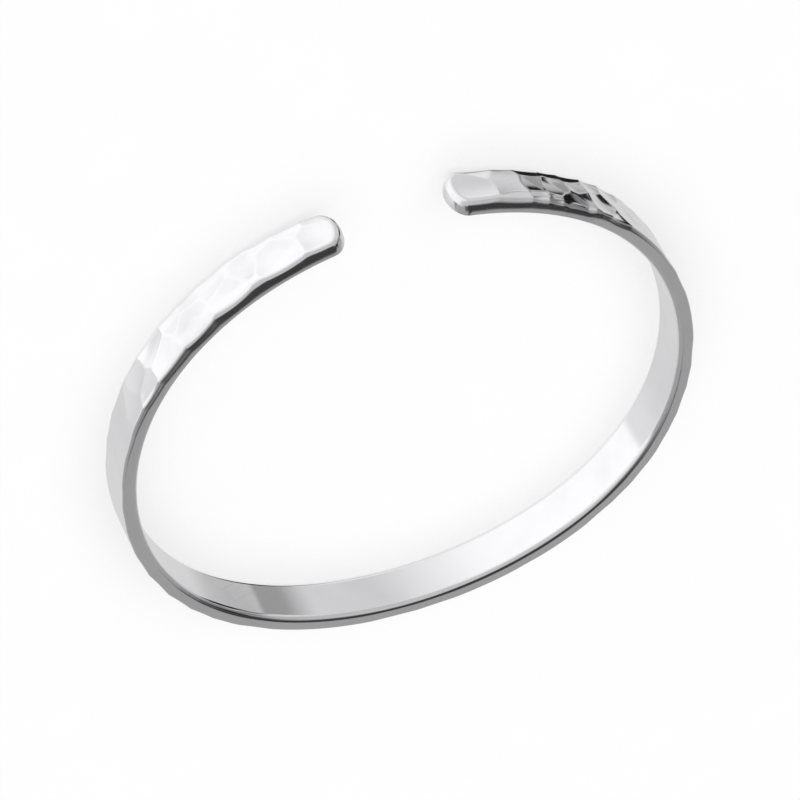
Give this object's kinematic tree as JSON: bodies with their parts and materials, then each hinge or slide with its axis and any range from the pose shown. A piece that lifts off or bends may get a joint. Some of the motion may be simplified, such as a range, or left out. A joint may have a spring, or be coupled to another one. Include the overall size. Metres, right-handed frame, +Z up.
{
  "type": "open cuff bangle",
  "caption": "Oval open cuff bangle of flat metal strip, hammered outside, smooth inside, with rounded tips either side of a gap.",
  "frame": {"origin": "the middle of the cuff's footprint, on the surface that it lies on", "axes": "+Z up from the surface, along the wrist's axis; the gap between the tips faces -Y; +X across the oval's width"},
  "size_m": [0.0638, 0.0578, 0.006],
  "materials": {
    "silver": "polished"
  },
  "bodies": {
    "root": {"cuff_band": "silver"}
  },
  "joints": []
}
